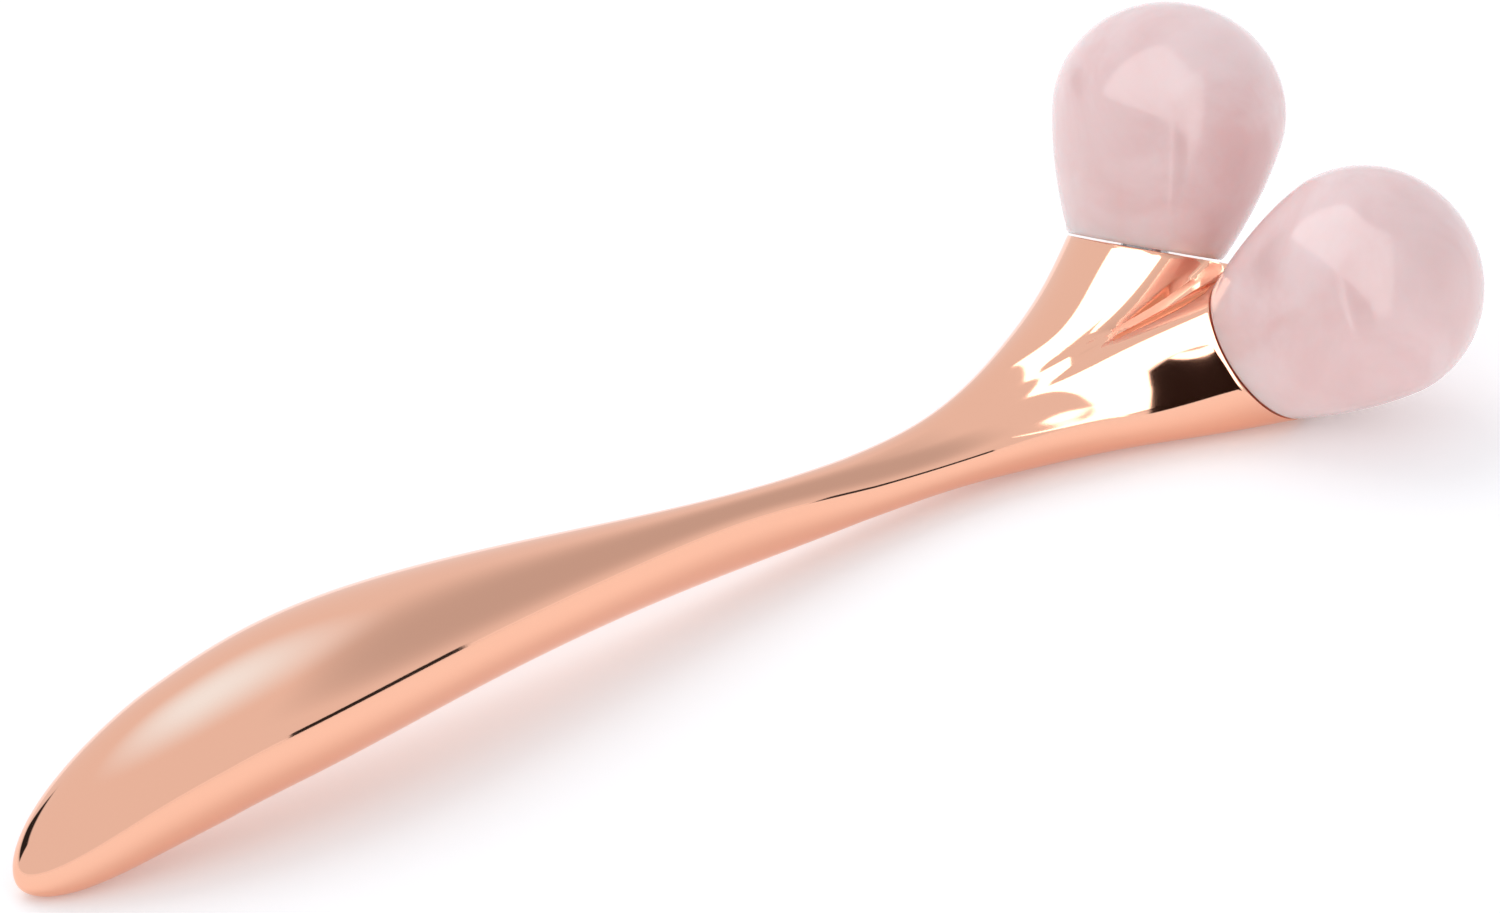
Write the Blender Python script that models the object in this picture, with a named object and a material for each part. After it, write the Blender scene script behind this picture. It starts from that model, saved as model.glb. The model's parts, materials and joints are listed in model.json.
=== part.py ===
"""Y-shaped facial massage roller: a solid rose-gold handle with two free-turning rose quartz drops.

Design frame: X runs along the handle towards the head, Y is sideways (left is +Y) and Z is up.
The XZ plane is the tool's plane of symmetry. The tool then leans over onto one arm to rest on a table.
Each head is a drop of quartz with a metal core sleeve, which runs on a fixed axle: a ball bearing
at the mouth, a plain bush at the tip and a retaining clip that keeps the head on.
"""

import math

import bmesh
import bpy
import numpy as np
from mathutils import Matrix, Vector

MM = 0.001

# Quartz drop, measured along its own axis from its flat base.
DROP_RADIUS = 12.5 * MM
DROP_BASE_RADIUS = 8.4 * MM
DROP_SHOULDER = 14.5 * MM  # from the base to the widest section
DROP_CROWN = 11.8 * MM  # from the widest section to the tip
DROP_TAPER_POWER = 1.48  # 2 is an ellipse, 1 is a straight cone

# Head layout.
HEAD_HALF_ANGLE = math.radians(26.4)  # each roller axis to the plane of symmetry
HEAD_PITCH = math.radians(60.6)  # the plane of both roller axes to the handle's line
MOUTH_SPACING = 10.25 * MM  # from the ridge between the mouths to each mouth's centre
MOUTH_GAP = 0.35 * MM  # running gap between an arm's mouth and its drop

# Spine of the handle, in the plane of symmetry: (x, z) in mm, from its end to the crotch of the fork.
SPINE = [
    (-153.7, -11.34), (-141.4, -5.26), (-124.0, -1.4), (-104.0, -1.5), (-82.4, -4.25),
    (-63.2, -7.24), (-44.0, -9.08), (-28.0, -8.73), (-12.0, -5.09), (0.28, 0.45),
]
# Half width (sideways) and half thickness of the stem, in mm, at (length along the spine).
STEM_KNOTS = [0, 14, 31, 51, 73, 92, 106]
STEM_HALF_WIDTHS = [8.11, 7.36, 8.32, 7.18, 4.67, 3.15, 3.31]
STEM_HALF_THICKNESSES = [5.81, 6.15, 6.81, 6.1, 5.02, 4.37, 3.53]
END_CAP_LENGTH = 21.1 * MM
END_CAP_POWER = 1.866
# The two arms, at (share of the way from the neck to the mouths): the distance of an arm's centre
# from the spine and its radius in mm, and the web between the arms as a share of that radius.
FORK_KNOTS = [0, 0.25, 0.5, 0.75, 1]
ARM_OFFSETS = [0.0, 0.89, 2.41, 5.64, 10.25]
ARM_RADII = [3.31, 3.32, 4.74, 6.62, 8.4]
TOP_FLATNESS = [1.066, 0.954, 0.951, 1.02, 1.0]  # an arm's half thickness as a share of its radius
UNDER_FLATNESS = [1.066, 1.063, 1.122, 1.012, 1.0]
# The web between the arms: its half thickness as a share of an arm's radius, and the angle on the
# arm's arc where the web begins, in degrees from the arm's crest towards the other arm.
TOP_WEB_KNOTS = [0, 0.3, 0.5, 0.6, 0.66, 0.72, 0.78, 0.86, 1]
TOP_WEB = [1.0, 1.0, 0.965, 0.91, 0.84, 0.71, 0.52, 0.28, 0.06]
TOP_WEB_ANGLES = [0, 0, 10, 19, 29, 40, 50, 62, 74]
UNDER_WEB_KNOTS = [0, 0.3, 0.5, 0.645, 0.75, 0.85, 1]
UNDER_WEB = [1.0, 1.02, 1.22, 1.2, 0.86, 0.46, 0.16]
UNDER_WEB_ANGLES = [0, -20, -24, -12, 15, 45, 70]

# Bearing, axle and core sleeve, measured along the roller axis from the arm's mouth.
SOCKET_RADIUS = 1.85 * MM
SOCKET_DEPTH = 6.0 * MM
FLANGE_RECESS_RADIUS = 4.7 * MM
FLANGE_RECESS_DEPTH = 1.1 * MM
SHANK_RADIUS = 1.8 * MM
SHAFT_RADIUS = 2.0 * MM
FLANGE_RADIUS = 4.6 * MM
AXLE_TIP = 18.8 * MM
CLIP_GROOVE = (17.35 * MM, 17.95 * MM)
CLIP_GROOVE_RADIUS = 1.5 * MM
BEARING_START = 0.8 * MM
BEARING_WIDTH = 3.0 * MM
BEARING_BORE = 2.03 * MM
BEARING_OUTSIDE = 4.0 * MM
PITCH_RADIUS = 3.0 * MM
BALL_RADIUS = 0.6 * MM
RACE_RADIUS = 0.66 * MM
BALLS = 7
SLEEVE_RADIUS = 5.0 * MM
SLEEVE_END = 16.5 * MM
STONE_BORE_RADIUS = 5.06 * MM
STONE_BORE_DEPTH = 20.0 * MM
FIT = 0.05 * MM  # gap between two metal pieces that touch

HANDLE_STATIONS = 30
FORK_STATIONS = 20
RING_HALF = 20  # points of a ring on each side of the plane of symmetry
TURNED_STEPS = 24
STONE_STEPS = 40

# How the tool lies on a table: on the handle's end and the fork's belly, leaning onto its right arm.
REST_ROLL = math.radians(21.8)
REST_PITCH = math.radians(0.81)
REST_OFFSET = Vector((68.376, 2.825, 13.962)) * MM


# ---------------------------------------------------------------- helpers


def clear_scene():
    for obj in list(bpy.data.objects):
        bpy.data.objects.remove(obj)


def material(name, colour, roughness, metallic):
    made = bpy.data.materials.new(name)
    made.use_nodes = True
    shader = made.node_tree.nodes["Principled BSDF"]
    shader.inputs["Base Color"].default_value = (*colour, 1)
    shader.inputs["Roughness"].default_value = roughness
    shader.inputs["Metallic"].default_value = metallic
    return made


def object_from(name, mesh, finish, parent):
    """One named object, hung on its parent empty."""
    mesh.materials.append(finish)
    obj = bpy.data.objects.new(name, mesh)
    bpy.context.scene.collection.objects.link(obj)
    obj.parent = parent
    return obj


def mesh_from_bmesh(name, shape):
    bmesh.ops.recalc_face_normals(shape, faces=shape.faces)
    mesh = bpy.data.meshes.new(name)
    shape.to_mesh(mesh)
    shape.free()
    mesh.shade_smooth()
    mesh.set_sharp_from_angle(angle=math.radians(35))
    return mesh


def turned(name, profile, steps=TURNED_STEPS):
    """A mesh of revolution about local Z from a closed (z, radius) profile."""
    shape = bmesh.new()
    points = [shape.verts.new((radius, 0, z)) for z, radius in profile]
    edges = [shape.edges.new(pair) for pair in zip(points, points[1:] + points[:1])]
    bmesh.ops.spin(
        shape, geom=points + edges, axis=(0, 0, 1), cent=(0, 0, 0),
        angle=2 * math.pi, steps=steps, use_merge=True,
    )
    bmesh.ops.remove_doubles(shape, verts=shape.verts, dist=1e-7)
    on_axis = [e for e in shape.edges if not e.link_faces]
    bmesh.ops.delete(shape, geom=on_axis, context="EDGES")
    return mesh_from_bmesh(name, shape)


def extruded(name, outline, bottom, top):
    """A flat plate from a closed (x, y) outline."""
    shape = bmesh.new()
    face = shape.faces.new([shape.verts.new((x, y, bottom)) for x, y in outline])
    made = bmesh.ops.extrude_face_region(shape, geom=[face])
    moved = [v for v in made["geom"] if isinstance(v, bmesh.types.BMVert)]
    bmesh.ops.translate(shape, verts=moved, vec=(0, 0, top - bottom))
    return mesh_from_bmesh(name, shape)


def cut(obj, cutter):
    """Takes the cutter's shape out of obj with a Boolean that stays on the object."""
    cutter.hide_render = True
    cutter.display_type = "WIRE"
    modifier = obj.modifiers.new("cut_" + cutter.name, "BOOLEAN")
    modifier.operation = "DIFFERENCE"
    modifier.solver = "EXACT"
    modifier.object = cutter


def smootherstep(value):
    return value**3 * (10 - 15 * value + 6 * value * value)


def bezier(start, first, second, end, count=60):
    """Points of a cubic curve, both ends included."""
    t = np.linspace(0, 1, count)[:, None]
    u = 1 - t
    return u**3 * start + 3 * u * u * t * first + 3 * u * t * t * second + t**3 * end


def natural_spline(knots, values, at):
    """Natural cubic spline through (knots, values), read at the points at."""
    knots, values, at = (np.asarray(v, float) for v in (knots, values, at))
    gap = np.diff(knots)
    slope = np.diff(values) / gap
    system = np.eye(len(knots))
    right = np.zeros(len(knots))
    for i in range(1, len(knots) - 1):
        system[i, i - 1 : i + 2] = gap[i - 1], 2 * (gap[i - 1] + gap[i]), gap[i]
        right[i] = 6 * (slope[i] - slope[i - 1])
    bend = np.linalg.solve(system, right)
    i = np.clip(np.searchsorted(knots, at) - 1, 0, len(gap) - 1)
    left, over = at - knots[i], knots[i + 1] - at
    return (
        (bend[i] * over**3 + bend[i + 1] * left**3) / (6 * gap[i])
        + (values[i] / gap[i] - bend[i] * gap[i] / 6) * over
        + (values[i + 1] / gap[i] - bend[i + 1] * gap[i] / 6) * left
    )


# ---------------------------------------------------------------- handle


class HandleForm:
    """The handle's outer surface: an oval stem on the spine, and two round arms that part from it."""

    def __init__(self):
        points = np.array(SPINE) * MM
        steps = np.linalg.norm(np.diff(points, axis=0), axis=1)
        self.knots = np.concatenate([[0], np.cumsum(steps)])
        self.points = points
        self.length = self.knots[-1]
        self.neck = STEM_KNOTS[-1] * MM

    def spine(self, s):
        """The point of the spine at length s, as (x, 0, z)."""
        x = natural_spline(self.knots, self.points[:, 0], s)
        z = natural_spline(self.knots, self.points[:, 1], s)
        return np.array([float(x), 0.0, float(z)])

    def heading(self, s):
        """The spine's own angle above X."""
        ahead = self.spine(s + 0.05 * MM) - self.spine(s - 0.05 * MM)
        return math.atan2(ahead[2], ahead[0])

    def parting(self, s):
        """0 at the neck, 1 at the mouths."""
        return min(max((s - self.neck) / (self.length - self.neck), 0), 1)

    def axes(self, s):
        """Forward, sideways and upward unit vectors of the left half of the section at s."""
        turn = smootherstep(self.parting(s))
        pitch = self.heading(min(s, self.neck)) * (1 - turn) + HEAD_PITCH * turn
        yaw = HEAD_HALF_ANGLE * turn
        level = np.array([math.cos(pitch), 0, math.sin(pitch)])
        upward = np.array([-math.sin(pitch), 0, math.cos(pitch)])
        across = np.array([0.0, 1.0, 0.0])
        forward = math.cos(yaw) * level + math.sin(yaw) * across
        sideways = math.cos(yaw) * across - math.sin(yaw) * level
        return forward, sideways, upward

    def place(self, s, outline):
        """Puts a flat (sideways, upward) outline into the section at s."""
        _, sideways, upward = self.axes(s)
        return self.spine(s) + outline[:, :1] * sideways + outline[:, 1:] * upward

    def stem_ring(self, s, points):
        """The left half of an oval section, from its top to its bottom."""
        cap = (1 - max(1 - s / END_CAP_LENGTH, 0) ** END_CAP_POWER) ** (1 / END_CAP_POWER)
        wide = natural_spline(STEM_KNOTS, STEM_HALF_WIDTHS, s / MM) * MM * cap
        thick = natural_spline(STEM_KNOTS, STEM_HALF_THICKNESSES, s / MM) * MM * cap
        angle = np.linspace(0, math.pi, 400)
        outline = np.stack([wide * np.sin(angle), thick * np.cos(angle)], axis=1)
        return evenly_spaced(self.place(s, outline), points)

    def fork_ring(self, s, points):
        """The left half of a section of the fork, from the top of the web round to its underside."""
        t = self.parting(s)
        offset = natural_spline(FORK_KNOTS, ARM_OFFSETS, t) * MM
        radius = natural_spline(FORK_KNOTS, ARM_RADII, t) * MM
        top = fork_outline(offset, radius, t, TOP_WEB_KNOTS, TOP_WEB, TOP_WEB_ANGLES)
        under = fork_outline(offset, radius, t, UNDER_WEB_KNOTS, UNDER_WEB, UNDER_WEB_ANGLES)
        top = top * (1, natural_spline(FORK_KNOTS, TOP_FLATNESS, t))
        under = under * (1, -natural_spline(FORK_KNOTS, UNDER_FLATNESS, t))
        outline = np.concatenate([top, under[-2::-1]])
        return evenly_spaced(self.place(s, outline), points)

    def rings(self, stem_count, fork_count, points):
        """Half rings from the handle's end to the mouths."""
        turn = np.linspace(0, 1, stem_count + 1)[1:]
        stem = self.neck * (turn - 0.92 * np.sin(math.pi * turn) / math.pi * (1 - turn) ** 2)
        fork = np.linspace(self.neck, self.length, fork_count + 1)[1:]
        return [self.stem_ring(s, points) for s in stem] + [self.fork_ring(s, points) for s in fork]


def fork_outline(offset, radius, t, knots, web, web_angles):
    """The upper left quarter of a fork section: half of the web's surface, then the arm's arc."""
    lean = math.radians(natural_spline(knots, web_angles, t))
    arc = np.linspace(-lean, math.pi / 2, 150)[1:]
    over = np.stack([offset + radius * np.sin(arc), radius * np.cos(arc)], axis=1)
    start = np.array([0.0, radius * natural_spline(knots, web, t)])
    end = np.array([offset - radius * math.sin(lean), radius * math.cos(lean)])
    reach = np.linalg.norm(end - start) * 0.45
    slope = np.array([reach * math.cos(lean), reach * math.sin(lean)])
    return np.concatenate([bezier(start, start + (reach, 0), end - slope, end), over])


def evenly_spaced(line, count):
    """The same line with count points at even steps."""
    steps = np.linalg.norm(np.diff(line, axis=0), axis=1)
    along = np.concatenate([[0], np.cumsum(steps)])
    at = np.linspace(0, along[-1], count)
    return np.stack([np.interp(at, along, line[:, k]) for k in range(3)], axis=1)


def handle_mesh(form):
    """The outer surface, closed by a rounded end and by the two flat mouths that meet in a ridge."""
    shape = bmesh.new()
    tip = shape.verts.new(form.spine(0))
    rows = []
    for half in form.rings(HANDLE_STATIONS, FORK_STATIONS, RING_HALF + 1):
        mirrored = (half * (1, -1, 1))[-2:0:-1]
        rows.append([shape.verts.new(p) for p in np.concatenate([half, mirrored])])
    count = len(rows[0])
    for i in range(count):
        shape.faces.new((tip, rows[0][i], rows[0][(i + 1) % count]))
    for near, far in zip(rows, rows[1:]):
        for i in range(count):
            j = (i + 1) % count
            shape.faces.new((near[i], far[i], far[j], near[j]))
    last = rows[-1]
    shape.faces.new(last[: RING_HALF + 1])
    shape.faces.new(last[RING_HALF:] + last[:1])
    return mesh_from_bmesh("handle", shape)


# ---------------------------------------------------------------- roller heads


def drop_profile():
    """Outer (z, radius) of the quartz, from its base edge to its tip."""
    reach = DROP_SHOULDER / (1 - (DROP_BASE_RADIUS / DROP_RADIUS) ** DROP_TAPER_POWER) ** (
        1 / DROP_TAPER_POWER
    )
    outline = []
    for i in range(12):
        z = DROP_SHOULDER * i / 12
        share = 1 - ((DROP_SHOULDER - z) / reach) ** DROP_TAPER_POWER
        outline.append((z, DROP_RADIUS * share ** (1 / DROP_TAPER_POWER)))
    for i in range(13):
        angle = i / 12 * math.pi / 2
        outline.append((DROP_SHOULDER + DROP_CROWN * math.sin(angle), DROP_RADIUS * math.cos(angle)))
    return [(z + MOUTH_GAP, radius) for z, radius in outline]


def stone_mesh():
    outside = drop_profile()
    bore = [
        (STONE_BORE_DEPTH, 0.0),
        (STONE_BORE_DEPTH, STONE_BORE_RADIUS),
        (MOUTH_GAP, STONE_BORE_RADIUS),
    ]
    return turned("stone", bore + outside, STONE_STEPS)


def sleeve_mesh():
    seat_end = BEARING_START + BEARING_WIDTH + FIT
    bush_seat = SLEEVE_END - 3.0 * MM
    return turned("sleeve", [
        (MOUTH_GAP, SLEEVE_RADIUS),
        (SLEEVE_END, SLEEVE_RADIUS),
        (SLEEVE_END, 3.6 * MM),
        (bush_seat, 3.6 * MM),
        (bush_seat, 3.3 * MM),
        (seat_end, 3.3 * MM),
        (seat_end, BEARING_OUTSIDE + FIT),
        (MOUTH_GAP, BEARING_OUTSIDE + FIT),
    ])


def axle_mesh():
    chamfer = 0.4 * MM
    return turned("axle", [
        (-SOCKET_DEPTH + 0.5 * MM, 0.0),
        (-SOCKET_DEPTH + 0.5 * MM, SHANK_RADIUS - chamfer),
        (-SOCKET_DEPTH + 0.5 * MM + chamfer, SHANK_RADIUS),
        (-FLANGE_RECESS_DEPTH + FIT, SHANK_RADIUS),
        (-FLANGE_RECESS_DEPTH + FIT, FLANGE_RADIUS),
        (-FIT, FLANGE_RADIUS),
        (-FIT, SHAFT_RADIUS),
        (CLIP_GROOVE[0], SHAFT_RADIUS),
        (CLIP_GROOVE[0], CLIP_GROOVE_RADIUS),
        (CLIP_GROOVE[1], CLIP_GROOVE_RADIUS),
        (CLIP_GROOVE[1], SHAFT_RADIUS),
        (AXLE_TIP - chamfer, SHAFT_RADIUS),
        (AXLE_TIP, SHAFT_RADIUS - chamfer),
        (AXLE_TIP, 0.0),
    ])


def washer_mesh(name, start, end, inside, outside):
    return turned(name, [(start, inside), (end, inside), (end, outside), (start, outside)])


def race_groove(side):
    """Points of a raceway across the bearing; side is 1 in the outer ring and -1 in the inner one."""
    middle = BEARING_START + BEARING_WIDTH / 2
    points = []
    for i in range(7):
        angle = math.radians(-48 + 16 * i)
        points.append((
            middle + RACE_RADIUS * math.sin(angle),
            PITCH_RADIUS + side * RACE_RADIUS * math.cos(angle),
        ))
    return points


def outer_ring_mesh():
    start, end = BEARING_START, BEARING_START + BEARING_WIDTH
    step, lip = 3.8 * MM - FIT, 0.25 * MM
    land = 3.45 * MM
    return turned("outer_ring", [
        (end, BEARING_OUTSIDE), (start, BEARING_OUTSIDE),
        (start, step), (start + lip, step), (start + lip, land),
        *race_groove(1),
        (end - lip, land), (end - lip, step), (end, step),
    ])


def inner_ring_mesh():
    start, end = BEARING_START, BEARING_START + BEARING_WIDTH
    land = 2.55 * MM
    return turned("inner_ring", [
        (end, BEARING_BORE), (start, BEARING_BORE), (start, land), *race_groove(-1), (end, land),
    ])


def cage_mesh():
    middle = BEARING_START + BEARING_WIDTH / 2
    half = 0.95 * MM
    return washer_mesh("cage", middle - half, middle + half, 2.74 * MM, 3.26 * MM)


def pocket_cutters_mesh():
    """Seven radial pins, one through each pocket of the cage."""
    shape = bmesh.new()
    middle = BEARING_START + BEARING_WIDTH / 2
    for i in range(BALLS):
        turn = Matrix.Rotation(2 * math.pi * i / BALLS, 4, "Z")
        lay = Matrix.Translation((PITCH_RADIUS, 0, middle)) @ Matrix.Rotation(math.pi / 2, 4, "Y")
        bmesh.ops.create_cone(
            shape, cap_ends=True, segments=16, radius1=0.7 * MM, radius2=0.7 * MM,
            depth=1.6 * MM, matrix=turn @ lay,
        )
    return mesh_from_bmesh("pockets", shape)


def ball_mesh():
    shape = bmesh.new()
    bmesh.ops.create_icosphere(shape, subdivisions=2, radius=BALL_RADIUS)
    return mesh_from_bmesh("ball", shape)


def bush_mesh():
    seat = SLEEVE_END - 3.0 * MM + FIT
    return turned("bush", [
        (seat, SHAFT_RADIUS + 0.06 * MM),
        (SLEEVE_END + 0.5 * MM, SHAFT_RADIUS + 0.06 * MM),
        (SLEEVE_END + 0.5 * MM, 4.4 * MM),
        (SLEEVE_END + FIT, 4.4 * MM),
        (SLEEVE_END + FIT, 3.6 * MM - FIT),
        (seat, 3.6 * MM - FIT),
    ])


def clip_mesh():
    """An E-clip: an open ring whose three lugs reach into the axle's groove."""
    outer, waist, lug = 3.4 * MM, 2.5 * MM, CLIP_GROOVE_RADIUS + FIT
    opening = math.radians(38)
    lug_half = math.radians(15)
    outside = [
        (outer * math.cos(a), outer * math.sin(a))
        for a in np.linspace(opening, 2 * math.pi - opening, 25)
    ]
    inside = []
    for a in np.linspace(2 * math.pi - opening, opening, 49):
        near = min(abs(a - centre) for centre in np.radians([60, 180, 300]))
        radius = lug if near < lug_half else waist
        inside.append((radius * math.cos(a), radius * math.sin(a)))
    low, high = CLIP_GROOVE[0] + FIT, CLIP_GROOVE[1] - FIT
    return extruded("clip", outside + inside, low, high)


def build_roller(side, name, root, finishes):
    """One head: its fixed axle stack, its turning stone and the ball bearing between them."""
    mouth = bpy.data.objects.new(name + "_axis", None)
    bpy.context.scene.collection.objects.link(mouth)
    mouth.parent = root
    mouth.matrix_local = mouth_frame(side)
    steel, brass, nylon = finishes["steel"], finishes["brass"], finishes["nylon"]
    bearing_end = BEARING_START + BEARING_WIDTH

    def add(piece, mesh, finish):
        return object_from(f"{name}_{piece}", mesh, finish, mouth)

    add("axle", axle_mesh(), steel)
    add("shim_washer", washer_mesh("shim", FIT, BEARING_START - FIT, SHAFT_RADIUS + FIT, 2.6 * MM), steel)
    add("bearing_inner_ring", inner_ring_mesh(), steel)
    add("tip_washer", washer_mesh(
        "tip_washer", SLEEVE_END + 0.5 * MM + FIT, CLIP_GROOVE[0] - FIT / 2, SHAFT_RADIUS + FIT, 3.9 * MM
    ), steel)
    add("retaining_clip", clip_mesh(), steel)

    add("stone", stone_mesh(), finishes["quartz"])
    add("core_sleeve", sleeve_mesh(), brass)
    add("bearing_outer_ring", outer_ring_mesh(), steel)
    shield = 0.2 * MM
    for place, start in (("front", BEARING_START), ("back", bearing_end - shield)):
        mesh = washer_mesh("shield", start, start + shield, 2.62 * MM, 3.8 * MM - 2 * FIT)
        add(f"bearing_{place}_shield", mesh, steel)
    add("tip_bush", bush_mesh(), nylon)

    cage = add("bearing_cage", cage_mesh(), brass)
    cut(cage, add("pocket_cutters", pocket_cutters_mesh(), brass))
    for i in range(BALLS):
        ball = add(f"bearing_ball_{i + 1}", ball_mesh(), steel)
        angle = 2 * math.pi * i / BALLS
        ball.location = (
            PITCH_RADIUS * math.cos(angle),
            PITCH_RADIUS * math.sin(angle),
            BEARING_START + BEARING_WIDTH / 2,
        )


def mouth_frame(side):
    """Matrix of an arm's mouth: origin at its centre, local Z out along the roller axis."""
    form = HandleForm()
    mirror = Vector((1, side, 1))
    forward, sideways, upward = (Vector(axis) * mirror for axis in form.axes(form.length))
    origin = Vector(form.spine(form.length)) + MOUTH_SPACING * sideways
    frame = Matrix((upward, forward.cross(upward), forward)).transposed()
    return Matrix.Translation(origin) @ frame.to_4x4()


def build_handle(root, finishes):
    form = HandleForm()
    handle = object_from("handle", handle_mesh(form), finishes["rose_gold"], root)
    for side, name in ((1, "left"), (-1, "right")):
        profile = [
            (-SOCKET_DEPTH, 0.0),
            (-SOCKET_DEPTH, SOCKET_RADIUS),
            (-FLANGE_RECESS_DEPTH, SOCKET_RADIUS),
            (-FLANGE_RECESS_DEPTH, FLANGE_RECESS_RADIUS),
            (1 * MM, FLANGE_RECESS_RADIUS),
            (1 * MM, 0.0),
        ]
        socket = object_from(name + "_socket", turned("socket", profile), finishes["rose_gold"], root)
        socket.matrix_local = mouth_frame(side)
        cut(handle, socket)
    return handle


def main():
    clear_scene()
    finishes = {
        "rose_gold": material("rose_gold", (0.93, 0.56, 0.40), 0.08, 1.0),
        "quartz": material("rose_quartz", (0.87, 0.66, 0.67), 0.12, 0.0),
        "steel": material("steel", (0.62, 0.62, 0.63), 0.25, 1.0),
        "brass": material("brass", (0.78, 0.60, 0.30), 0.3, 1.0),
        "nylon": material("nylon", (0.85, 0.85, 0.82), 0.5, 0.0),
    }
    root = bpy.data.objects.new("tool", None)
    bpy.context.scene.collection.objects.link(root)
    lean = Matrix.Rotation(-REST_PITCH, 4, "Y") @ Matrix.Rotation(REST_ROLL, 4, "X")
    root.matrix_world = Matrix.Translation(REST_OFFSET) @ lean
    build_handle(root, finishes)
    for side, name in ((1, "left"), (-1, "right")):
        build_roller(side, name, root, finishes)


main()
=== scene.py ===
"""Facial massage roller: a rose gold fork handle with two rose quartz drops, on a white table."""

import json
import math

import bmesh
import bpy
import numpy as np
from mathutils import Euler, Matrix, Vector


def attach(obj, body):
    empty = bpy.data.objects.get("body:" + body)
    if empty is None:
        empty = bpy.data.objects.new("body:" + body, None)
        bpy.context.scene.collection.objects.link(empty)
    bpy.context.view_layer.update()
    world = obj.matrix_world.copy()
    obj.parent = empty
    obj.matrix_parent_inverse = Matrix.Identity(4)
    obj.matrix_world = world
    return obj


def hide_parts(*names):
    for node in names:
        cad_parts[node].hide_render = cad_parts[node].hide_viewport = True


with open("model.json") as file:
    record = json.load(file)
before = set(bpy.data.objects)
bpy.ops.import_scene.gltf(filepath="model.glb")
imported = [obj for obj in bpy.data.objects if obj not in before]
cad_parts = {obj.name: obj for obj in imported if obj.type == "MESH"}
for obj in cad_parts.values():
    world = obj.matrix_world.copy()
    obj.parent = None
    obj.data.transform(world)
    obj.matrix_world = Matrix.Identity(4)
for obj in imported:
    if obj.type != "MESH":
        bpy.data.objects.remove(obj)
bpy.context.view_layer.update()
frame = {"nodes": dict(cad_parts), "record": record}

MM = 0.001

# How the tool lies on the table, from the handle's own axes.
REST_ROLL = math.radians(21.8)
REST_PITCH = math.radians(0.81)
REST_OFFSET = Vector((68.376, 2.825, 13.962)) * MM
REST = (
    Matrix.Translation(REST_OFFSET)
    @ Matrix.Rotation(-REST_PITCH, 4, "Y")
    @ Matrix.Rotation(REST_ROLL, 4, "X")
)

CAMERA_PLACE = Vector((-0.37983, -0.4963, 0.30772))
CAMERA_TURN = Euler((math.radians(65.002), math.radians(4.823), math.radians(-39.765)), "XYZ")
CAMERA_LENS = 165.55
SENSOR_WIDTH = 36


# ---------------------------------------------------------------- handle form
# The same form as the CAD handle, read at finer steps.

SPINE = [
    (-153.7, -11.34), (-141.4, -5.26), (-124.0, -1.4), (-104.0, -1.5), (-82.4, -4.25),
    (-63.2, -7.24), (-44.0, -9.08), (-28.0, -8.73), (-12.0, -5.09), (0.28, 0.45),
]
STEM_KNOTS = [0, 14, 31, 51, 73, 92, 106]
STEM_HALF_WIDTHS = [8.11, 7.36, 8.32, 7.18, 4.67, 3.15, 3.31]
STEM_HALF_THICKNESSES = [5.81, 6.15, 6.81, 6.1, 5.02, 4.37, 3.53]
END_CAP_LENGTH = 21.1 * MM
END_CAP_POWER = 1.866
HEAD_HALF_ANGLE = math.radians(26.4)
HEAD_PITCH = math.radians(60.6)
MOUTH_SPACING = 10.25 * MM
MOUTH_GAP = 0.35 * MM
LEFT = np.array([1.0, 1.0, 1.0])
RIGHT = np.array([1.0, -1.0, 1.0])
FORK_KNOTS = [0, 0.25, 0.5, 0.75, 1]
ARM_OFFSETS = [0.0, 0.89, 2.41, 5.64, 10.25]
ARM_RADII = [3.31, 3.32, 4.74, 6.62, 8.4]
TOP_FLATNESS = [1.066, 0.954, 0.951, 1.02, 1.0]
UNDER_FLATNESS = [1.066, 1.063, 1.122, 1.012, 1.0]
TOP_WEB_KNOTS = [0, 0.3, 0.5, 0.6, 0.66, 0.72, 0.78, 0.86, 1]
TOP_WEB = [1.0, 1.0, 0.965, 0.91, 0.84, 0.71, 0.52, 0.28, 0.06]
TOP_WEB_ANGLES = [0, 0, 10, 19, 29, 40, 50, 62, 74]
UNDER_WEB_KNOTS = [0, 0.3, 0.5, 0.645, 0.75, 0.85, 1]
UNDER_WEB = [1.0, 1.02, 1.22, 1.2, 0.86, 0.46, 0.16]
UNDER_WEB_ANGLES = [0, -20, -24, -12, 15, 45, 70]

FLANGE_RECESS_RADIUS = 4.7 * MM
FLANGE_RECESS_DEPTH = 1.1 * MM
SOCKET_RADIUS = 1.85 * MM
SOCKET_DEPTH = 6.0 * MM
RIM_ROUND = 0.12 * MM

DROP_RADIUS = 12.5 * MM
DROP_BASE_RADIUS = 8.4 * MM
DROP_SHOULDER = 14.5 * MM
DROP_CROWN = 11.8 * MM
DROP_TAPER_POWER = 1.48
STONE_BORE_RADIUS = 5.06 * MM
STONE_BORE_DEPTH = 20.0 * MM

WEB_REACH = 0.45
STONE_EDGE = 0.15 * MM

# Mesh steps.
STEM_STATIONS = 150
FORK_STATIONS = 100
RING_HALF = 64
STONE_STEPS = 128
DROP_STEPS = 48
CURVE_POINTS = 60
SECTION_POINTS = 400
ARC_POINTS = 150
END_CROWDING = 0.92
SHARP_ANGLE = math.radians(32)


def smootherstep(value):
    return value**3 * (10 - 15 * value + 6 * value * value)


def bezier(start, first, second, end):
    """Points of a cubic curve, both ends included."""
    t = np.linspace(0, 1, CURVE_POINTS)[:, None]
    u = 1 - t
    return u**3 * start + 3 * u * u * t * first + 3 * u * t * t * second + t**3 * end


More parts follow.
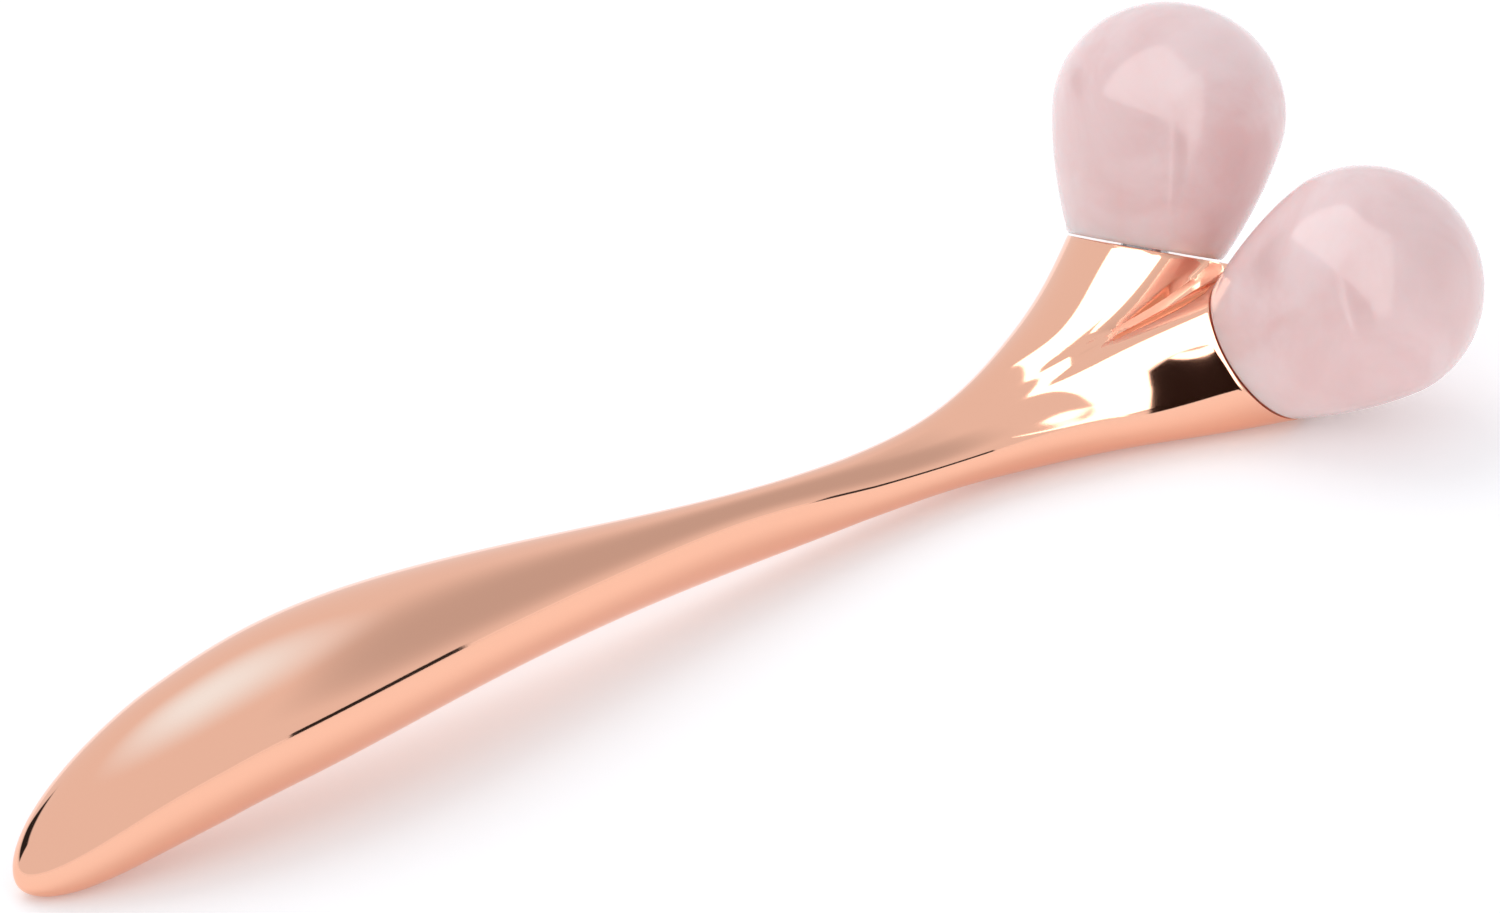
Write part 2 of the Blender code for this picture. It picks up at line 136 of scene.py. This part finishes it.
def natural_spline(knots, values, at):
    """Natural cubic spline through (knots, values), read at the points at."""
    knots, values, at = (np.asarray(v, float) for v in (knots, values, at))
    gap = np.diff(knots)
    slope = np.diff(values) / gap
    system = np.eye(len(knots))
    right = np.zeros(len(knots))
    for i in range(1, len(knots) - 1):
        system[i, i - 1 : i + 2] = gap[i - 1], 2 * (gap[i - 1] + gap[i]), gap[i]
        right[i] = 6 * (slope[i] - slope[i - 1])
    bend = np.linalg.solve(system, right)
    i = np.clip(np.searchsorted(knots, at) - 1, 0, len(gap) - 1)
    left, over = at - knots[i], knots[i + 1] - at
    return (
        (bend[i] * over**3 + bend[i + 1] * left**3) / (6 * gap[i])
        + (values[i] / gap[i] - bend[i] * gap[i] / 6) * over
        + (values[i + 1] / gap[i] - bend[i + 1] * gap[i] / 6) * left
    )


class HandleForm:
    """The handle's outer surface: an oval stem on the spine, and two round arms parting from it."""

    def __init__(self):
        points = np.array(SPINE) * MM
        steps = np.linalg.norm(np.diff(points, axis=0), axis=1)
        self.knots = np.concatenate([[0], np.cumsum(steps)])
        self.points = points
        self.length = self.knots[-1]
        self.neck = STEM_KNOTS[-1] * MM

    def spine(self, s):
        """The point of the spine at length s, as (x, 0, z)."""
        x = natural_spline(self.knots, self.points[:, 0], s)
        z = natural_spline(self.knots, self.points[:, 1], s)
        return np.array([float(x), 0.0, float(z)])

    def heading(self, s):
        """The spine's own angle above X."""
        ahead = self.spine(s + 0.05 * MM) - self.spine(s - 0.05 * MM)
        return math.atan2(ahead[2], ahead[0])

    def parting(self, s):
        """0 at the neck, 1 at the mouths."""
        return min(max((s - self.neck) / (self.length - self.neck), 0), 1)

    def axes(self, s):
        """Forward, sideways and upward unit vectors of the left half of the section at s."""
        turn = smootherstep(self.parting(s))
        pitch = self.heading(min(s, self.neck)) * (1 - turn) + HEAD_PITCH * turn
        yaw = HEAD_HALF_ANGLE * turn
        level = np.array([math.cos(pitch), 0, math.sin(pitch)])
        upward = np.array([-math.sin(pitch), 0, math.cos(pitch)])
        across = np.array([0.0, 1.0, 0.0])
        forward = math.cos(yaw) * level + math.sin(yaw) * across
        sideways = math.cos(yaw) * across - math.sin(yaw) * level
        return forward, sideways, upward

    def place(self, s, outline):
        """Puts a flat (sideways, upward) outline into the section at s."""
        _, sideways, upward = self.axes(s)
        return self.spine(s) + outline[:, :1] * sideways + outline[:, 1:] * upward

    def stem_ring(self, s, points):
        """The left half of an oval section, from its top to its bottom."""
        cap = (1 - max(1 - s / END_CAP_LENGTH, 0) ** END_CAP_POWER) ** (1 / END_CAP_POWER)
        wide = natural_spline(STEM_KNOTS, STEM_HALF_WIDTHS, s / MM) * MM * cap
        thick = natural_spline(STEM_KNOTS, STEM_HALF_THICKNESSES, s / MM) * MM * cap
        angle = np.linspace(0, math.pi, SECTION_POINTS)
        outline = np.stack([wide * np.sin(angle), thick * np.cos(angle)], axis=1)
        return evenly_spaced(self.place(s, outline), points)

    def fork_ring(self, s, points):
        """The left half of a fork section, from the top of the web round to its underside."""
        t = self.parting(s)
        offset = natural_spline(FORK_KNOTS, ARM_OFFSETS, t) * MM
        radius = natural_spline(FORK_KNOTS, ARM_RADII, t) * MM
        top = fork_outline(offset, radius, t, TOP_WEB_KNOTS, TOP_WEB, TOP_WEB_ANGLES)
        under = fork_outline(offset, radius, t, UNDER_WEB_KNOTS, UNDER_WEB, UNDER_WEB_ANGLES)
        top = top * (1, natural_spline(FORK_KNOTS, TOP_FLATNESS, t))
        under = under * (1, -natural_spline(FORK_KNOTS, UNDER_FLATNESS, t))
        outline = np.concatenate([top, under[-2::-1]])
        return evenly_spaced(self.place(s, outline), points)

    def rings(self, stem_count, fork_count, points):
        """Half rings from the handle's end to the mouths, closer together at the rounded end."""
        turn = np.linspace(0, 1, stem_count + 1)[1:]
        crowding = END_CROWDING * np.sin(math.pi * turn) / math.pi * (1 - turn) ** 2
        stem = self.neck * (turn - crowding)
        fork = np.linspace(self.neck, self.length, fork_count + 1)[1:]
        return [self.stem_ring(s, points) for s in stem] + [self.fork_ring(s, points) for s in fork]


def fork_outline(offset, radius, t, knots, web, web_angles):
    """The upper left quarter of a fork section: half of the web's surface, then the arm's arc."""
    lean = math.radians(natural_spline(knots, web_angles, t))
    arc = np.linspace(-lean, math.pi / 2, ARC_POINTS)[1:]
    over = np.stack([offset + radius * np.sin(arc), radius * np.cos(arc)], axis=1)
    start = np.array([0.0, radius * natural_spline(knots, web, t)])
    end = np.array([offset - radius * math.sin(lean), radius * math.cos(lean)])
    reach = np.linalg.norm(end - start) * WEB_REACH
    slope = np.array([reach * math.cos(lean), reach * math.sin(lean)])
    return np.concatenate([bezier(start, start + (reach, 0), end - slope, end), over])


def evenly_spaced(line, count):
    """The same line with count points at even steps."""
    steps = np.linalg.norm(np.diff(line, axis=0), axis=1)
    along = np.concatenate([[0], np.cumsum(steps)])
    at = np.linspace(0, along[-1], count)
    return np.stack([np.interp(at, along, line[:, k]) for k in range(3)], axis=1)


# ---------------------------------------------------------------- mesh helpers


def object_from(name, shape, place):
    """A smooth-shaded object from a bmesh, with its place in its vertices."""
    bmesh.ops.recalc_face_normals(shape, faces=shape.faces)
    mesh = bpy.data.meshes.new(name)
    shape.to_mesh(mesh)
    shape.free()
    mesh.transform(place)
    mesh.shade_smooth()
    mesh.set_sharp_from_angle(angle=SHARP_ANGLE)
    obj = bpy.data.objects.new(name, mesh)
    bpy.context.scene.collection.objects.link(obj)
    return obj


def bridge(shape, near, far):
    """A band of faces between two closed loops of as many points."""
    count = len(near)
    for i in range(count):
        j = (i + 1) % count
        shape.faces.new((near[i], far[i], far[j], near[j]))


def mouth_loops(form, loop, mirror):
    """Point loops from an arm's rim down to the floor of its axle socket."""
    forward, sideways, upward = (v * mirror for v in form.axes(form.length))
    centre = form.spine(form.length) + MOUTH_SPACING * sideways
    rim = np.array([np.array(v.co) for v in loop])
    across, up = (rim - centre) @ sideways, (rim - centre) @ upward
    reach = np.hypot(across, up)
    steps = [
        (FLANGE_RECESS_RADIUS, 0.0),
        (FLANGE_RECESS_RADIUS, -FLANGE_RECESS_DEPTH),
        (SOCKET_RADIUS, -FLANGE_RECESS_DEPTH),
        (SOCKET_RADIUS, -SOCKET_DEPTH),
    ]
    loops = [
        rim - RIM_ROUND * (across / reach)[:, None] * sideways
        - RIM_ROUND * (up / reach)[:, None] * upward + RIM_ROUND * forward
    ]
    for radius, depth in steps:
        loops.append(
            centre + (radius * across / reach)[:, None] * sideways
            + (radius * up / reach)[:, None] * upward + depth * forward
        )
    return loops


def build_handle():
    """The forked handle, hollow at both mouths."""
    form = HandleForm()
    shape = bmesh.new()
    tip = shape.verts.new(form.spine(0))
    rows = []
    for half in form.rings(STEM_STATIONS, FORK_STATIONS, RING_HALF + 1):
        mirrored = (half * (1, -1, 1))[-2:0:-1]
        rows.append([shape.verts.new(p) for p in np.concatenate([half, mirrored])])
    count = len(rows[0])
    for i in range(count):
        shape.faces.new((tip, rows[0][i], rows[0][(i + 1) % count]))
    for near, far in zip(rows, rows[1:]):
        bridge(shape, near, far)
    last = rows[-1]
    left_rim, right_rim = last[: RING_HALF + 1], last[RING_HALF:] + last[:1]
    for rim, mirror in ((left_rim, LEFT), (right_rim, RIGHT)):
        near = rim
        for points in mouth_loops(form, rim, mirror):
            far = [shape.verts.new(p) for p in points]
            bridge(shape, near, far)
            near = far
        shape.faces.new(near)
    return object_from("handle_form", shape, REST)


def drop_outline():
    """Outer (z, radius) of the quartz from its base to its tip."""
    reach = DROP_SHOULDER / (1 - (DROP_BASE_RADIUS / DROP_RADIUS) ** DROP_TAPER_POWER) ** (
        1 / DROP_TAPER_POWER
    )
    outline = []
    for i in range(DROP_STEPS):
        z = DROP_SHOULDER * i / DROP_STEPS
        share = 1 - ((DROP_SHOULDER - z) / reach) ** DROP_TAPER_POWER
        outline.append((z, DROP_RADIUS * share ** (1 / DROP_TAPER_POWER)))
    for i in range(DROP_STEPS + 1):
        angle = i / DROP_STEPS * math.pi / 2
        rise = DROP_CROWN * math.sin(angle)
        outline.append((DROP_SHOULDER + rise, DROP_RADIUS * math.cos(angle)))
    return [(z + MOUTH_GAP, radius) for z, radius in outline]


def build_stone(name, mirror):
    """A hollow quartz drop on its arm's own axis."""
    outside = drop_outline()
    profile = [
        (STONE_BORE_DEPTH, 0.0),
        (STONE_BORE_DEPTH, STONE_BORE_RADIUS),
        (MOUTH_GAP, STONE_BORE_RADIUS),
        (MOUTH_GAP, outside[0][1] - STONE_EDGE),
        (MOUTH_GAP + STONE_EDGE, outside[0][1]),
    ] + outside[1:]
    shape = bmesh.new()
    points = [shape.verts.new((radius, 0, z)) for z, radius in profile]
    edges = [shape.edges.new(pair) for pair in zip(points, points[1:])]
    bmesh.ops.spin(
        shape, geom=points + edges, axis=(0, 0, 1), cent=(0, 0, 0),
        angle=2 * math.pi, steps=STONE_STEPS, use_merge=True,
    )
    bmesh.ops.remove_doubles(shape, verts=shape.verts, dist=1e-7)
    form = HandleForm()
    forward, sideways, _ = (Vector(v * mirror) for v in form.axes(form.length))
    centre = Vector(form.spine(form.length) * mirror) + MOUTH_SPACING * sideways
    third = forward.cross(sideways)
    stand = Matrix((sideways, third, forward)).transposed().to_4x4()
    stand.translation = centre
    return object_from(name, shape, REST @ stand)


# ---------------------------------------------------------------- materials

WINDOW_DEPTH = 0.97


class Nodes:
    """Short calls for building a node tree."""

    def __init__(self, tree):
        self.tree = tree

    def make(self, kind, **values):
        node = self.tree.nodes.new(kind)
        for name, value in values.items():
            setattr(node, name, value)
        return node

    def join(self, source, target):
        self.tree.links.new(source, target)

    def put(self, socket, value):
        if isinstance(value, bpy.types.NodeSocket):
            self.join(value, socket)
        else:
            socket.default_value = value

    def math(self, operation, first, second=0.0):
        node = self.make("ShaderNodeMath", operation=operation)
        self.put(node.inputs[0], first)
        self.put(node.inputs[1], second)
        return node.outputs[0]

    def ramp(self, value, low, high, start=0.0, end=1.0, smooth=True):
        """start below low, end above high, a smooth step or a straight one between."""
        node = self.make("ShaderNodeMapRange")
        node.interpolation_type = "SMOOTHSTEP" if smooth else "LINEAR"
        self.put(node.inputs["Value"], value)
        self.put(node.inputs["From Min"], low)
        self.put(node.inputs["From Max"], high)
        self.put(node.inputs["To Min"], start)
        self.put(node.inputs["To Max"], end)
        return node.outputs["Result"]

    def patch(self, azimuth, height, middle, level, wide, tall, amount):
        """A soft spot of the surroundings, at amount in its middle and 0 outside."""
        across = self.math("DIVIDE", self.math("SUBTRACT", azimuth, middle), wide)
        up = self.math("DIVIDE", self.math("SUBTRACT", height, level), tall)
        far = self.math("ADD", self.math("MULTIPLY", across, across), self.math("MULTIPLY", up, up))
        return self.ramp(far, 0.0, 1.0, amount, 0.0)

    def window(self, azimuth, height, sides, levels, edge):
        """Near 0 inside an opening of the surroundings and 1 outside it, edge degrees soft."""
        inside = self.ramp(azimuth, sides[0] - edge, sides[0] + edge)
        for value, low, high in (
            (azimuth, sides[1] + edge, sides[1] - edge),
            (height, levels[0] - edge, levels[0] + edge),
            (height, levels[1] + edge, levels[1] - edge),
        ):
            inside = self.math("MULTIPLY", inside, self.ramp(value, low, high))
        return self.math("SUBTRACT", 1.0, self.math("MULTIPLY", inside, WINDOW_DEPTH))

    def mix(self, share, first, second):
        node = self.make("ShaderNodeMix", data_type="RGBA")
        self.put(node.inputs["Factor"], share)
        self.put(node.inputs["A"], (*first, 1) if isinstance(first, tuple) else first)
        self.put(node.inputs["B"], (*second, 1) if isinstance(second, tuple) else second)
        return node.outputs["Result"]

    def noise(self, scale, detail=4.0, roughness=0.5, distortion=0.0, shift=(0, 0, 0)):
        place = self.make("ShaderNodeTexCoord").outputs["Object"]
        mapping = self.make("ShaderNodeMapping")
        self.join(place, mapping.inputs["Vector"])
        mapping.inputs["Location"].default_value = shift
        node = self.make("ShaderNodeTexNoise")
        self.join(mapping.outputs[0], node.inputs["Vector"])
        node.inputs["Scale"].default_value = scale
        node.inputs["Detail"].default_value = detail
        node.inputs["Roughness"].default_value = roughness
        node.inputs["Distortion"].default_value = distortion
        return node.outputs["Fac"]

    def bump(self, height, strength, distance):
        node = self.make("ShaderNodeBump")
        self.put(node.inputs["Height"], height)
        node.inputs["Strength"].default_value = strength
        node.inputs["Distance"].default_value = distance
        return node.outputs["Normal"]


def new_material(name):
    made = bpy.data.materials.new(name)
    made.use_nodes = True
    shader = made.node_tree.nodes["Principled BSDF"]
    return made, Nodes(made.node_tree), shader


def rose_gold():
    made, n, shader = new_material("rose_gold_polish")
    cloud = n.noise(60, detail=3)
    haze = n.noise(9000, detail=2)
    n.put(shader.inputs["Base Color"], n.mix(cloud, (0.955, 0.505, 0.345), (0.94, 0.515, 0.36)))
    shader.inputs["Metallic"].default_value = 1.0
    n.put(shader.inputs["Roughness"], n.ramp(cloud, 0.3, 0.7, 0.03, 0.055))
    n.put(shader.inputs["Normal"], n.bump(haze, 0.02, 0.00002))
    return made


def rose_quartz(name, shift):
    made, n, shader = new_material(name)
    cloud = n.noise(75, detail=4, roughness=0.55, distortion=0.6, shift=shift)
    veil = n.noise(38, detail=3, roughness=0.5, distortion=1.2, shift=shift)
    tone = n.mix(n.ramp(cloud, 0.3, 0.7), (0.775, 0.545, 0.53), (0.84, 0.665, 0.655))
    tone = n.mix(n.ramp(veil, 0.45, 0.75, 0, 0.5), tone, (0.82, 0.63, 0.61))
    n.put(shader.inputs["Base Color"], tone)
    shader.inputs["IOR"].default_value = 1.5
    shader.inputs["Subsurface Weight"].default_value = 1.0
    shader.inputs["Subsurface Radius"].default_value = (1.0, 0.55, 0.5)
    shader.inputs["Subsurface Scale"].default_value = 0.005
    n.put(shader.inputs["Roughness"], n.ramp(veil, 0.3, 0.7, 0.12, 0.17))
    n.put(shader.inputs["Normal"], n.bump(n.noise(900, detail=2), 0.03, 0.00005))
    return made


def brushed_metal(name, low, high, roughness):
    made, n, shader = new_material(name)
    grain = n.noise(4000, detail=5, roughness=0.6)
    patch = n.noise(400, detail=3)
    n.put(shader.inputs["Base Color"], n.mix(patch, low, high))
    shader.inputs["Metallic"].default_value = 1.0
    n.put(shader.inputs["Roughness"], n.ramp(grain, 0.3, 0.7, roughness * 0.7, roughness * 1.3))
    n.put(shader.inputs["Normal"], n.bump(grain, 0.15, 0.00003))
    return made


def nylon():
    made, n, shader = new_material("nylon_moulded")
    grain = n.noise(2500, detail=3)
    n.put(shader.inputs["Base Color"], n.mix(grain, (0.78, 0.76, 0.70), (0.84, 0.82, 0.77)))
    n.put(shader.inputs["Roughness"], n.ramp(grain, 0.3, 0.7, 0.42, 0.58))
    n.put(shader.inputs["Normal"], n.bump(grain, 0.2, 0.00003))
    return made


def dress(obj, finish):
    obj.data.materials.clear()
    obj.data.materials.append(finish)


# ---------------------------------------------------------------- studio

TABLE_HALF = 4.0
TABLE_GLOW = (1.0, 0.95, 0.94, 1)
TABLE_GLOW_STRENGTH = 0.20

KEY_PLACE = (0.1, 0.75, 1.1)
KEY_SIZE = 1.0
KEY_POWER = 3.8

# The white tent around the table: a dim spot and openings as (azimuths, heights), in degrees,
# and the heights between which the bright skirting ends.
TENT_LIGHT = 0.86
TENT_TINT = (0.99, 1.02, 1.07)
DIM_SPOT = {"middle": -22, "level": 36, "wide": 60, "tall": 35, "amount": 0.27}
BACK_OPENING = ((98, 127), (6, 19))
FRONT_OPENING = ((-76, -46), (0.6, 5.4))
SKIRTING_HEIGHTS = (2.6, 2.9)

# What the forked head mirrors from a leaning plane beside it: outlines at (across, up) in metres.
HEAD_LINE = 0.046
HEAD_LEVEL = 0.03
LEAN = 0.394
SOFTBOX_OUTLINE = [
    (-0.10, 0.008), (-0.070, 0.017), (-0.055, 0.022), (-0.032, 0.031), (-0.013, 0.036),
    (0.020, 0.040), (0.020, 0.115), (-0.034, 0.092), (-0.10, 0.19),
]
# What the right arm mirrors from an upright plane in front: outlines at (along, up) in metres.
UPRIGHT_FOOT = (0.037, -0.055)
UPRIGHT_TURN = math.radians(102)
DARK_OUTLINE = [
    (-0.009, 0.001), (0.012, 0.001), (0.0185, 0.030), (0.0225, 0.057), (0.0225, 0.095),
    (0.004, 0.095), (0.0, 0.045),
]
NEAR_OUTLINE = [
    (-0.018, 0.012), (-0.0067, 0.012), (0.0, 0.045), (0.004, 0.095), (0.004, 0.11),
    (-0.045, 0.13), (-0.045, 0.077), (-0.0232, 0.035),
]
FAR_OUTLINE = [
    (0.012, 0.001), (0.016, 0.001), (0.0225, 0.030), (0.028, 0.057), (0.028, 0.095),
    (0.0225, 0.095), (0.0225, 0.057), (0.0185, 0.030),
]
SOFTBOX_STRENGTH = 3.0
DARK_STRENGTH = 0.02
DARK_TINT = (1.0, 0.6, 0.5)
# The glow over the handle's wide end.
GLOW_PLACE = (-0.055, 0.027, 0.13)
GLOW_RADIUS = 0.10
GLOW_TINT = (0.95, 1.45, 1.85)
GLOW_CORNERS = ((-1, 1, 0), (1, 1, 0), (1, -1, 0), (-1, -1, 0))


def table_material():
    made, n, shader = new_material("white_table")
    grain = n.noise(30, detail=4)
    n.put(shader.inputs["Base Color"], n.mix(grain, (0.88, 0.88, 0.88), (0.90, 0.90, 0.90)))
    n.put(shader.inputs["Roughness"], n.ramp(grain, 0.3, 0.7, 0.34, 0.40))
    shader.inputs["Specular IOR Level"].default_value = 0.0
    shader.inputs["Emission Color"].default_value = TABLE_GLOW
    shader.inputs["Emission Strength"].default_value = TABLE_GLOW_STRENGTH
    return made


def build_table():
    shape = bmesh.new()
    corners = ((-1, -1), (1, -1), (1, 1), (-1, 1))
    shape.faces.new([shape.verts.new((x * TABLE_HALF, y * TABLE_HALF, 0)) for x, y in corners])
    table = object_from("table_top", shape, Matrix.Identity(4))
    dress(table, table_material())


def build_world():
    """The white tent: a dim spot, a bright skirting, and two dark openings the handle mirrors."""
    world = bpy.data.worlds.new("studio_tent")
    bpy.context.scene.world = world
    world.use_nodes = True
    n = Nodes(world.node_tree)
    background = world.node_tree.nodes["Background"]
    direction = n.make("ShaderNodeTexCoord").outputs["Generated"]
    split = n.make("ShaderNodeSeparateXYZ")
    n.join(direction, split.inputs[0])
    x, y, z = split.outputs
    azimuth = n.math("MULTIPLY", n.math("ARCTAN2", y, x), math.degrees(1))
    height = n.math("MULTIPLY", n.math("ARCSINE", z), math.degrees(1))
    light = n.math("SUBTRACT", TENT_LIGHT, n.patch(azimuth, height, **DIM_SPOT))
    light = n.math("MULTIPLY", light, n.window(azimuth, height, *BACK_OPENING, edge=1.5))
    light = n.ramp(height, *SKIRTING_HEIGHTS, 1.0, light, smooth=False)
    light = n.math("MULTIPLY", light, n.window(azimuth, height, *FRONT_OPENING, edge=0.3))
    n.put(background.inputs["Color"], n.mix(light, (0, 0, 0), TENT_TINT))


def card(name, corners, strength, colour=(1, 1, 1), glow_radius=None):
    """A flat card for reflections, seen only from where its corners run anticlockwise.

    With a glow_radius it fades from its middle to nothing at that distance.
    """
    shape = bmesh.new()
    middle = np.mean(corners, axis=0)
    shape.faces.new([shape.verts.new(p - middle) for p in np.array(corners)])
    mesh = bpy.data.meshes.new(name)
    shape.to_mesh(mesh)
    shape.free()
    obj = bpy.data.objects.new(name, mesh)
    obj.location = middle
    bpy.context.scene.collection.objects.link(obj)
    made = bpy.data.materials.new(name)
    made.use_nodes = True
    n = Nodes(made.node_tree)
    n.tree.nodes.remove(n.tree.nodes["Principled BSDF"])
    glow = n.make("ShaderNodeEmission")
    glow.inputs["Color"].default_value = (*colour, 1)
    glow.inputs["Strength"].default_value = strength
    clear = n.make("ShaderNodeNewGeometry").outputs["Backfacing"]
    if glow_radius:
        distance = n.make("ShaderNodeVectorMath", operation="LENGTH")
        n.join(n.make("ShaderNodeTexCoord").outputs["Object"], distance.inputs[0])
        clear = n.math("MAXIMUM", clear, n.ramp(distance.outputs["Value"], 0.0, glow_radius))
    mixer = n.make("ShaderNodeMixShader")
    n.join(clear, mixer.inputs[0])
    n.join(glow.outputs[0], mixer.inputs[1])
    n.join(n.make("ShaderNodeBsdfTransparent").outputs[0], mixer.inputs[2])
    n.join(mixer.outputs[0], n.tree.nodes["Material Output"].inputs["Surface"])
    dress(obj, made)
    obj.visible_camera = False
    obj.visible_diffuse = False
    obj.visible_shadow = False


def build_key():
    """The one soft lamp, aimed at the table's middle and kept out of reflections."""
    light = bpy.data.lights.new("key", "AREA")
    light.shape = "RECTANGLE"
    light.size = light.size_y = KEY_SIZE
    light.energy = KEY_POWER
    obj = bpy.data.objects.new("key", light)
    bpy.context.scene.collection.objects.link(obj)
    obj.location = KEY_PLACE
    obj.rotation_euler = (-Vector(KEY_PLACE)).to_track_quat("-Z", "Y").to_euler()
    obj.visible_glossy = False


def leaning(across, up):
    """A point of the leaning plane beside the head."""
    return (HEAD_LINE + LEAN * (up - HEAD_LEVEL), across, up)


def upright(along, up):
    """A point of the upright plane in front of the right arm."""
    x, y = UPRIGHT_FOOT
    return (x + along * math.cos(UPRIGHT_TURN), y + along * math.sin(UPRIGHT_TURN), up)


def build_cards():
    """A white softbox in three pieces round a dark body, and the glow."""
    card("softbox_face", [leaning(*p) for p in SOFTBOX_OUTLINE], SOFTBOX_STRENGTH)
    card("camera_body", [upright(*p) for p in DARK_OUTLINE], DARK_STRENGTH, DARK_TINT)
    card("front_near", [upright(*p) for p in NEAR_OUTLINE], SOFTBOX_STRENGTH)
    card("front_far", [upright(*p) for p in FAR_OUTLINE], SOFTBOX_STRENGTH)
    glow_corners = [Vector(GLOW_PLACE) + GLOW_RADIUS * Vector(corner) for corner in GLOW_CORNERS]
    card("end_glow", glow_corners, 1.0, GLOW_TINT, GLOW_RADIUS)


def build_camera():
    data = bpy.data.cameras.new("camera")
    data.sensor_width = SENSOR_WIDTH
    data.lens = CAMERA_LENS
    data.clip_start = 0.02
    obj = bpy.data.objects.new("camera", data)
    bpy.context.scene.collection.objects.link(obj)
    obj.location = CAMERA_PLACE
    obj.rotation_euler = CAMERA_TURN
    bpy.context.scene.camera = obj


# ---------------------------------------------------------------- build

build_camera()
build_world()
build_table()
build_key()
build_cards()

handle = build_handle()
dress(handle, rose_gold())
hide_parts("handle")
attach(handle, "handle")

for side, mirror, shift in (
    ("left", LEFT, (0.3, 0.1, 0.7)),
    ("right", RIGHT, (1.9, 0.6, 0.2)),
):
    stone = build_stone(side + "_drop", mirror)
    dress(stone, rose_quartz(side + "_rose_quartz", shift))
    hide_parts(side + "_stone")
    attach(stone, side + "_roller")

steel = brushed_metal("bearing_steel", (0.56, 0.57, 0.58), (0.64, 0.64, 0.65), 0.22)
brass = brushed_metal("turned_brass", (0.72, 0.50, 0.22), (0.80, 0.58, 0.28), 0.28)
plastic = nylon()
slot_finish = {"steel": steel, "brass": brass, "nylon": plastic}
for part in frame["record"]["subparts"]:
    if part["material_slot"] in slot_finish:
        dress(frame["nodes"][part["node"]], slot_finish[part["material_slot"]])

scene = bpy.context.scene
scene.view_settings.view_transform = "Standard"
scene.view_settings.look = "None"
